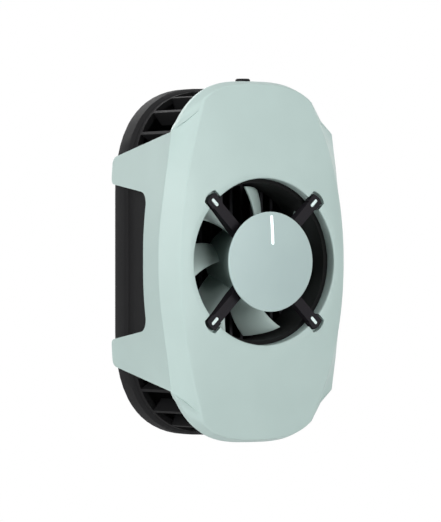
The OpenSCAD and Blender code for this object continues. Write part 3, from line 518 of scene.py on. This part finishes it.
def opening(i, z=None, grown=0):
    """Point on the opening's rim; the columns of a notch keep to its straight sides."""
    r = OPENING_R + grown
    side = math.asin(NOTCH_HALF / r)
    first, last = NOTCH[0], NOTCH[-1]
    if i < first:
        turn = i / first * (math.pi / 4 - side)
    elif i > last:
        turn = math.pi / 2 - (QUARTER - i) / (QUARTER - last) * (math.pi / 4 - side)
    else:
        turn = math.pi / 4 + math.asin(notch_aside(i) / r)
    p = lie(r * math.cos(turn), r * math.sin(turn))
    return p if z is None else Vector((p.x, p.y, z))


def notch_end(i):
    """Point on the bowed end of a notch."""
    aside = notch_aside(i)
    along = NOTCH_END - sag(aside, NOTCH_BOW)
    c = math.sqrt(0.5)
    return lie((along - aside) * c, (along + aside) * c)


def near_ring(i):
    """Ring just outside the brow of the opening, which runs around the notches."""
    if i in NOTCH:
        return notch_end(i)
    p = opening(i, grown=BROW_W + BROW_SOFT).lerp(face_edge(i), NEAR_SHARE)
    return lie(p.x, p.y)


def across_face(share):
    """Places a share of the way from the near ring to the face's edge."""
    def place(i):
        p = near_ring(i).lerp(face_edge(i), share)
        return lie(p.x, p.y)
    return place


def towards(p, q, distance, most):
    """Point on the way from p to q, at a distance or at most a share of the way."""
    return p.lerp(q, min(distance / (q - p).length, most))


def rounding(start, corner, end, steps):
    """Ring places on curves that leave one surface and land on the next, tangent to both."""
    def on_curve(t):
        return lambda i: start(i).lerp(corner(i), t).lerp(corner(i).lerp(end(i), t), t)
    return [on_curve(k / steps) for k in range(steps + 1)]


def rim_corner(i):
    """Inner edge of the brow, before it is rounded."""
    return opening(i) - Vector((0, 0, BROW_H))


def brow_corner(i):
    """Outer edge of the brow, before it is rounded."""
    return opening(i, grown=BROW_W)


def crease(i):
    """Half-width of the crease's rounding, which grows towards the shoulder."""
    return CREASE_SOFT + CREASE_SOFTER * max(0, 1 - abs(i - SIDE) / CREASE_COLUMNS)


def face_inside(i):
    """Where the crease's rounding leaves the face."""
    p = towards(face_edge(i), near_ring(i), crease(i), CREASE_INWARD)
    return lie(p.x, p.y)


def arm_high(z):
    """Upper edge of an arm at a height."""
    return ARM_TOP_Y + (ARM_WING_Y - ARM_TOP_Y) * (z - ARM_Z) / (ARM_WING_Z - ARM_Z)


def corner_trim(distance, r):
    """How much a round corner takes off an edge at a distance from the corner's end."""
    return r * (1 - math.sqrt(1 - (1 - min(distance / r, 1)) ** 2))


def arm_limits(z):
    """Lower and upper edge of an arm at a height, with the root's fillet and the tip's round corners."""
    deep = arm_root_z - z
    low = ARM_ROOT_Y + (ARM_TIP_Y - ARM_ROOT_Y) * deep / (arm_root_z - ARM_Z)
    low -= corner_trim(deep, ARM_FILLET)
    trim = corner_trim(z - ARM_Z, ARM_TIP_R)
    return low + trim, arm_high(z) - trim


def wall_foot(i):
    """Lower end of the wall beside the window and where the arms begin."""
    low, high = arm_limits(arm_root_z)
    y = low * i / ARM_FROM if i <= ARM_FROM else low + (high - low) * (i - ARM_FROM) / (SIDE - ARM_FROM)
    return Vector((wing_half(y), y, STRIP_Z - ARM_DROP * min(y / ARM_ROOT_Y, 1)))


def skirt(i):
    """Lower edge of the skirt around the ends, carried on across the walls; it dips past the shoulder."""
    p = outer_edge(i)
    if i <= SIDE:
        z = SKIRT_Z + (WING_END_Z - SKIRT_Z) * (i / SIDE) ** SKIRT_CURVE
        y = min(p.y, arm_high(z) * i / SIDE)
        return Vector((wing_half(y), y, z))
    neck_z = SKIRT_Z - SKIRT_DIP
    if i <= NECK:
        z = WING_END_Z + (neck_z - WING_END_Z) * (p.y - WING_REACH) / SHOULDER
    else:
        z = neck_z + SKIRT_DIP * min((i - NECK) / DIP_COLUMNS, 1)
    return Vector((p.x, p.y, z))


def arm_row(i, z):
    """Point of an arm's cross row; the tip's edge slants back towards the arm's upper side."""
    low, high = arm_limits(z)
    share = (i - ARM_FROM) / (SIDE - ARM_FROM)
    y = low + (high - low) * share
    slant = ARM_SLANT * (1 - share) * (arm_root_z - z) / (arm_root_z - ARM_Z)
    return Vector((wing_half(y), y, z + slant))


def place_in_quarter(c):
    """A column's place in its quarter, and the quarter's signs across and up."""
    q, k = divmod(c, QUARTER)
    return [(k, 1, 1), (QUARTER - k, -1, 1), (k, -1, -1), (QUARTER - k, 1, -1)][q]


def spot(c, place):
    """Where a column's vertex of a ring lies."""
    i, sx, sy = place_in_quarter(c)
    p = place(i)
    return at(sx * p.x, sy * p.y, p.z)


def ring_edge(bm, row, c):
    """Edge from a column to the next one, where a row has both."""
    d = (c + 1) % AROUND
    return bm.edges.get((row[c], row[d])) if c in row and d in row else None


def grow(bm, key, row, place):
    """Extrudes a row of vertices, kept by column, to new places."""
    edges = [e for e in (ring_edge(bm, row, c) for c in row) if e]
    made = bmesh.ops.extrude_edge_only(bm, edges=edges)["geom"]
    new = {v[key]: v for v in made if isinstance(v, bmesh.types.BMVert)}
    for c, v in new.items():
        v.co = spot(c, place)
    return new


def in_notch(c):
    """Whether a column runs over a notch."""
    return place_in_quarter(c)[0] in NOTCH


def front_shell():
    """Moulded shell: rings over rim, brow, face, crease, flank and edge, then walls and arms."""
    bm = bmesh.new()
    key = bm.verts.layers.int.new("column")
    rows = [{}]
    for c, v in enumerate(bmesh.ops.create_circle(bm, segments=AROUND, radius=MM)["verts"]):
        v[key] = c
        v.co = spot(c, lambda i: opening(i, COLLAR_Z))
        rows[0][c] = v
    over_rim = rounding(lambda i: rim_corner(i) - Vector((0, 0, RIM_SOFT)), rim_corner,
                        lambda i: towards(rim_corner(i), brow_corner(i), RIM_SOFT, HALF_WAY), steps=4)
    over_brow = rounding(lambda i: towards(brow_corner(i), rim_corner(i), BROW_SOFT, HALF_WAY), brow_corner,
                         lambda i: opening(i, grown=BROW_W + BROW_SOFT), steps=2)
    over_crease = rounding(face_inside, face_edge,
                           lambda i: towards(face_edge(i), flank(i), crease(i), CREASE_OUTWARD), steps=6)
    over_edge = rounding(lambda i: towards(outer_edge(i), flank(i), EDGE_SOFT, HALF_WAY), outer_edge,
                         lambda i: towards(outer_edge(i), skirt(i), EDGE_SOFT, HALF_WAY), steps=4)
    places = [lambda i: opening(i, TAB_Z)] + over_rim + over_brow + [near_ring]
    around_notch = len(places)
    places += [across_face(share) for share in FACE_SHARES] + over_crease + [flank] + over_edge
    for place in places + [skirt]:
        rows.append(grow(bm, key, rows[-1], place))
    walls = {c: v for c, v in rows[-1].items() if place_in_quarter(c)[0] <= SIDE}
    walls = grow(bm, key, walls, wall_foot)
    arms = {c: v for c, v in walls.items() if ARM_FROM <= place_in_quarter(c)[0]}
    row_heights = [arm_root_z - d for d in ROWS_BELOW_ROOT] + [ARM_Z + d for d in ROWS_ABOVE_TIP]
    for z in row_heights:
        arms = grow(bm, key, arms, lambda i: arm_row(i, z))
    # The skin is left open over the spider's tabs.
    gone = []
    for c in range(AROUND):
        d = (c + 1) % AROUND
        if in_notch(c) and in_notch(d):
            for a, b in zip(rows[1:around_notch], rows[2:around_notch + 1]):
                corners = {a[c], a[d], b[c], b[d]}
                gone += [f for f in a[c].link_faces if set(f.verts) == corners]
    bmesh.ops.delete(bm, geom=gone, context="FACES")
    bmesh.ops.recalc_face_normals(bm, faces=bm.faces)
    # An open skin may come out facing inwards; its foremost face has to look forward.
    foremost = max(bm.faces, key=lambda f: -f.calc_center_median().y)
    if foremost.normal.y > 0:
        bmesh.ops.reverse_faces(bm, faces=bm.faces)
    shell = piece("front_shell", bm, mint_abs, "housing", ["front_cover"])
    wall = shell.modifiers.new("wall", "SOLIDIFY")
    wall.thickness = WALL_T * MM
    wall.offset = -1
    soft_edges(shell, WALL_EDGE, WALL_SHARP)


def block(bm, x, y, z):
    """Box between limits across, up and outward."""
    made = bmesh.ops.create_cube(bm, size=1)["verts"]
    low, high = at(x[0], y[0], z[0]), at(x[1], y[1], z[1])
    for v in made:
        v.co = [low[k] + (v.co[k] + 0.5) * (high[k] - low[k]) for k in range(3)]


def round_bar(bm, length, width, x, z0, z1):
    """Round-ended upright bar along x, with its outer end's edge rounded."""
    made = bmesh.ops.create_circle(bm, cap_ends=True, segments=24, radius=width / 2 * MM)["verts"]
    face = made[0].link_faces[0]
    for v in made:
        across = x + v.co.x / MM + (length - width) / 2 * (1 if v.co.x > 1e-9 else -1)
        v.co = at(across, v.co.y / MM, z0)
    top = bmesh.ops.extrude_face_region(bm, geom=[face])["geom"]
    moved = [v for v in top if isinstance(v, bmesh.types.BMVert)]
    bmesh.ops.translate(bm, verts=moved, vec=at(0, 0, z1 - z0))
    edges = [e for e in bm.edges if all(v in moved for v in e.verts)]
    bmesh.ops.bevel(bm, geom=edges, offset=PEG_EDGE * MM, segments=2, profile=0.5, affect="EDGES",
                    material=-1)


def at_each_tab(draw):
    """One bmesh with a part drawn along x at each of the spider's four tabs."""
    bm = bmesh.new()
    for k in range(4):
        part = bmesh.new()
        draw(part)
        bmesh.ops.rotate(part, verts=part.verts, cent=(0, 0, 0),
                         matrix=Matrix.Rotation(math.radians(45 + 90 * k), 3, (0, -1, 0)))
        mesh = bpy.data.meshes.new("part")
        part.to_mesh(mesh)
        part.free()
        bm.from_mesh(mesh)
        bpy.data.meshes.remove(mesh)
    bmesh.ops.recalc_face_normals(bm, faces=bm.faces)
    return bm


def tab_seat(part):
    """Floor and lower walls of a notch, with the block below it; each starts a step behind the last."""
    end, inside = NOTCH_END + SEAT_WALL, NOTCH_HALF + SEAT_SLIP
    side_x = (OPENING_R + 3 * SEAT_STEP, NOTCH_END + SEAT_LAP)
    wall_z = (TAB_Z - SEAT_SINK, TAB_Z + SEAT_RISE)
    block(part, (OPENING_R + SEAT_STEP, OPENING_R + BLOCK_T), (-BLOCK_HALF, BLOCK_HALF), (COLLAR_Z, TAB_Z))
    block(part, (OPENING_R + 2 * SEAT_STEP, end), (-SEAT_HALF, SEAT_HALF), (TAB_Z - SEAT_T, TAB_Z))
    block(part, side_x, (-SEAT_HALF, -inside), wall_z)
    block(part, side_x, (inside, SEAT_HALF), wall_z)
    block(part, (NOTCH_END + SEAT_SLIP, end), (-SEAT_HALF, SEAT_HALF), wall_z)


def shell_peg(part):
    """Peg of the shell that shows in the slot of a tab."""
    round_bar(part, PEG_LEN, PEG_W, OPENING_R, TAB_Z - PEG_SINK, STRUT_Z - PEG_LOW)


def lathe(bm, profile, steps=96):
    """Spins a line of radius and height about the fan's axis."""
    verts = [bm.verts.new(at(r, 0, z)) for r, z in profile]
    edges = [bm.edges.new(pair) for pair in zip(verts, verts[1:])]
    bmesh.ops.spin(bm, geom=verts + edges, cent=(0, 0, 0), axis=(0, -1, 0), dvec=(0, 0, 0),
                   angle=2 * math.pi, steps=steps, use_merge=True)
    bmesh.ops.remove_doubles(bm, verts=bm.verts, dist=SEAM_MM * MM)
    bmesh.ops.recalc_face_normals(bm, faces=bm.faces)


DOME_RADII = (0, 1, 3, 5, 7, 9, 10.5, 11.6, 12.2)
dome_r = (CAP_R ** 2 + CAP_DOME ** 2) / (2 * CAP_DOME)


def dome(r):
    """Height of the hub disc's front at a radius."""
    return CUP_Z + CAP_EDGE + CAP_DOME - sag(r, dome_r)


def hub_disc():
    """Domed disc with a rounded rim, and a locating ring behind."""
    bm = bmesh.new()
    profile = [(r, dome(r)) for r in DOME_RADII]
    round_r = CAP_R - CAP_ROUND
    round_z = dome(round_r) - CAP_ROUND
    steps = 4
    for k in range(steps + 1):
        a = math.pi / 2 * k / steps
        profile.append((round_r + CAP_ROUND * math.sin(a), round_z + CAP_ROUND * math.cos(a)))
    profile += [(CAP_R, CUP_Z + CAP_CHAMFER), (CAP_R - CAP_CHAMFER, CUP_Z),
                (RING_OUT, CUP_Z), (RING_OUT, CUP_Z - RING_H), (RING_IN, CUP_Z - RING_H), (RING_IN, CUP_Z),
                (0, CUP_Z)]
    lathe(bm, profile)
    obj = piece("hub_disc", bm, mint_disc, "housing", ["hub_cap"])
    obj.data.set_sharp_from_angle(angle=math.radians(DISC_SHARP))


def lit_bar():
    """Light bar: a strip with round ends that stands a hair proud of the dome."""
    bm = bmesh.new()
    bmesh.ops.create_grid(bm, x_segments=4, y_segments=24, size=0.5)
    half = BAR_W / 2
    middle = CAP_R - BAR_EDGE - BAR_LEN / 2
    for v in bm.verts:
        along = BAR_LEN / 2 * math.sin(v.co.y * math.pi)
        over = max(abs(along) - (BAR_LEN / 2 - half), 0)
        wide = math.sqrt(max(half * half - over * over, 1e-4))
        x, y = v.co.x * 2 * wide, middle + along
        v.co = at(x, y, dome(math.hypot(x, y)) + BAR_PROUD)
    made = bmesh.ops.extrude_face_region(bm, geom=bm.faces[:])["geom"]
    bmesh.ops.translate(bm, verts=[v for v in made if isinstance(v, bmesh.types.BMVert)],
                        vec=at(0, 0, -BAR_DEEP))
    bmesh.ops.recalc_face_normals(bm, faces=bm.faces)
    obj = piece("lit_bar", bm, light_guide, "housing", ["light_bar"])
    obj.data.set_sharp_from_angle(angle=math.radians(DISC_SHARP))


def fan_blades():
    """Swept blades: one is bent from a grid, thickened and rounded, then turned around the hub."""
    bm = bmesh.new()
    bmesh.ops.create_grid(bm, x_segments=14, y_segments=18, size=0.5)
    blade_top = WHEEL_Z + BLADE_RISE + BLADE_H
    root_r = HUB_R - BLADE_ROOT
    for v in bm.verts:
        r = root_r + (v.co.x + 0.5) * (TIP_R - root_r)
        u, s = (r - HUB_R) / (TIP_R - HUB_R), v.co.y + 0.5
        t = BLADE_T * (1 - BLADE_THIN * u)
        span = BLADE_SPAN + (TIP_SPAN - BLADE_SPAN) * u
        turn = math.radians(BLADE_TURN + BLADE_SWEEP * u - span * s)
        z = blade_top - t / 2 - (BLADE_H - t) * s ** BLADE_CURVE
        v.co = at(r * math.cos(turn), r * math.sin(turn), z + BLADE_SKIN / 2)
    bmesh.ops.recalc_face_normals(bm, faces=bm.faces)
    if sum(f.normal.y for f in bm.faces) > 0:
        bmesh.ops.reverse_faces(bm, faces=bm.faces)
    bmesh.ops.solidify(bm, geom=bm.faces[:], thickness=BLADE_SKIN * MM)
    rims = [e for e in bm.edges if e.is_manifold and e.calc_face_angle() > math.radians(RIM_ANGLE)]
    bmesh.ops.bevel(bm, geom=rims, offset=BLADE_EDGE * MM, segments=3, profile=0.5, affect="EDGES",
                    material=-1)
    bmesh.ops.spin(bm, geom=bm.verts[:] + bm.edges[:] + bm.faces[:], cent=(0, 0, 0), axis=(0, -1, 0),
                   dvec=(0, 0, 0), angle=2 * math.pi * (BLADES - 1) / BLADES, steps=BLADES - 1,
                   use_duplicate=True)
    bmesh.ops.recalc_face_normals(bm, faces=bm.faces)
    obj = piece("fan_blades", bm, mint_wheel_painted_light, "rotor", ["fan_wheel"])
    obj.data.set_sharp_from_angle(angle=math.radians(WHEEL_SHARP))


def fan_hub():
    """Hub cup of the wheel: round outer corners, a well for the rotor's yoke and a boss for the shaft."""
    bm = bmesh.new()
    well_r, well_z, boss_z = YOKE_R + YOKE_SLIP, WHEEL_Z + HUB_FLOOR, WHEEL_Z + BOSS_H
    back_corner = [(HUB_R - BACK_ROUND, WHEEL_Z), (HUB_R - BACK_BEND, WHEEL_Z + BACK_BEND),
                   (HUB_R, WHEEL_Z + BACK_ROUND)]
    front_corner = [(HUB_R, WHEEL_TOP - FRONT_ROUND), (HUB_R - FRONT_BEND, WHEEL_TOP - FRONT_BEND),
                    (HUB_R - FRONT_ROUND, WHEEL_TOP)]
    well = [(well_r, WHEEL_TOP), (well_r, well_z), (BOSS_R, well_z)]
    boss = [(BOSS_R, boss_z), (BORE_R, boss_z), (BORE_R, WHEEL_Z)]
    lathe(bm, [(BORE_R, WHEEL_Z)] + back_corner + front_corner + well + boss, steps=72)
    obj = piece("fan_hub", bm, mint_hub_painted_shade, "rotor")
    obj.data.set_sharp_from_angle(angle=math.radians(WHEEL_SHARP))


front_shell()
soft_edges(piece("tab_seats", at_each_tab(tab_seat), mint_abs, "housing"), SEAT_EDGE)
piece("shell_pegs", at_each_tab(shell_peg), mint_peg_painted_highlight, "housing")
hub_disc()
lit_bar()
fan_blades()
fan_hub()
for node, width in EDGE_ROUNDS.items():
    moulded_copy(node, width, "button" if node == "power_button" else "housing")

# Floor, light and camera
FLOOR_R = 150
FLOOR_DROP = 84
FLOOR_FORWARD = 18
floor_bm = bmesh.new()
bmesh.ops.create_circle(floor_bm, cap_ends=True, segments=96, radius=FLOOR_R * MM,
                        matrix=Matrix.Translation(at(0, -FLOOR_DROP, FLOOR_FORWARD)))
floor_mesh = bpy.data.meshes.new("floor")
floor_bm.to_mesh(floor_mesh)
floor_bm.free()
# Matt white paper: plain, with a little tooth.
white_paper = finish("white_paper_matt", "#F4F4F4", "#F7F7F7", rough=0.9, grit_mm=0.8, relief_mm=0.02)
floor_mesh.materials.append(white_paper)
floor = bpy.data.objects.new("floor", floor_mesh)
bpy.context.scene.collection.objects.link(floor)

world = bpy.data.worlds.new("studio")
bpy.context.scene.world = world
world.use_nodes = True
sky = world.node_tree
sky.nodes.clear()
ray = add(sky, "ShaderNodeLightPath")
# White to the camera, in the gloss and through clear parts; the lamps alone light the part.
seen = add(sky, "ShaderNodeMath", operation="MAXIMUM",
           links={0: (ray, "Is Camera Ray"), 1: (ray, "Is Transmission Ray")})
level = add(sky, "ShaderNodeMath", operation="MAXIMUM", links={0: (seen, 0), 1: (ray, "Is Glossy Ray")})
white = add(sky, "ShaderNodeBackground", {"Color": (1, 1, 1, 1)}, {"Strength": (level, 0)})
add(sky, "ShaderNodeOutputWorld", links={"Surface": (white, "Background")})

LAMP_MM = 500
fan_middle = at(0, 0, RIM_Z)


def softbox(name, azimuth, elevation, size_mm, watts):
    """Square soft light that faces the fan's opening from a direction, with 0 straight in front."""
    a, e = math.radians(azimuth), math.radians(elevation)
    way = Vector((math.sin(a) * math.cos(e), -math.cos(a) * math.cos(e), math.sin(e)))
    lamp = bpy.data.lights.new(name, "AREA")
    lamp.size = size_mm * MM
    lamp.energy = watts
    obj = bpy.data.objects.new(name, lamp)
    obj.location = fan_middle + LAMP_MM * MM * way
    obj.rotation_euler = (-way).to_track_quat("-Z", "Y").to_euler()
    obj.visible_camera = False
    bpy.context.scene.collection.objects.link(obj)


softbox("front_light", azimuth=6, elevation=10, size_mm=250, watts=1.32)
softbox("left_light", azimuth=-82, elevation=10, size_mm=300, watts=1.62)
softbox("right_light", azimuth=100, elevation=10, size_mm=250, watts=0.38)
softbox("top_light", azimuth=-42, elevation=75, size_mm=250, watts=1.0)
softbox("low_light", azimuth=0, elevation=-30, size_mm=250, watts=0.6)
softbox("back_light", azimuth=180, elevation=20, size_mm=300, watts=1.5)

# Camera: 1.1 m away at the fan's height, to the left of its axis; the picture is 522 rows for 133 mm.
# The fan stands right of the picture's middle and a little below it, by these columns and rows.
PICTURE_ROWS = 522
ROWS_PER_MM = 3.92
COLUMNS_RIGHT = 45
ROWS_BELOW = 0.75
CAMERA_AZ = math.radians(-32.57)
CAMERA_MM = 1100
forward = Vector((-math.sin(CAMERA_AZ), math.cos(CAMERA_AZ), 0))
right = Vector((math.cos(CAMERA_AZ), math.sin(CAMERA_AZ), 0))
aim = fan_middle + (Vector((0, 0, ROWS_BELOW)) - right * COLUMNS_RIGHT) / ROWS_PER_MM * MM
camera_data = bpy.data.cameras.new("camera")
camera_data.lens = camera_data.sensor_width * CAMERA_MM * ROWS_PER_MM / PICTURE_ROWS
camera = bpy.data.objects.new("camera", camera_data)
camera.location = aim - forward * (CAMERA_MM * MM)
camera.rotation_euler = forward.to_track_quat("-Z", "Y").to_euler()
bpy.context.scene.collection.objects.link(camera)
bpy.context.scene.camera = camera
bpy.context.scene.view_settings.view_transform = "Standard"
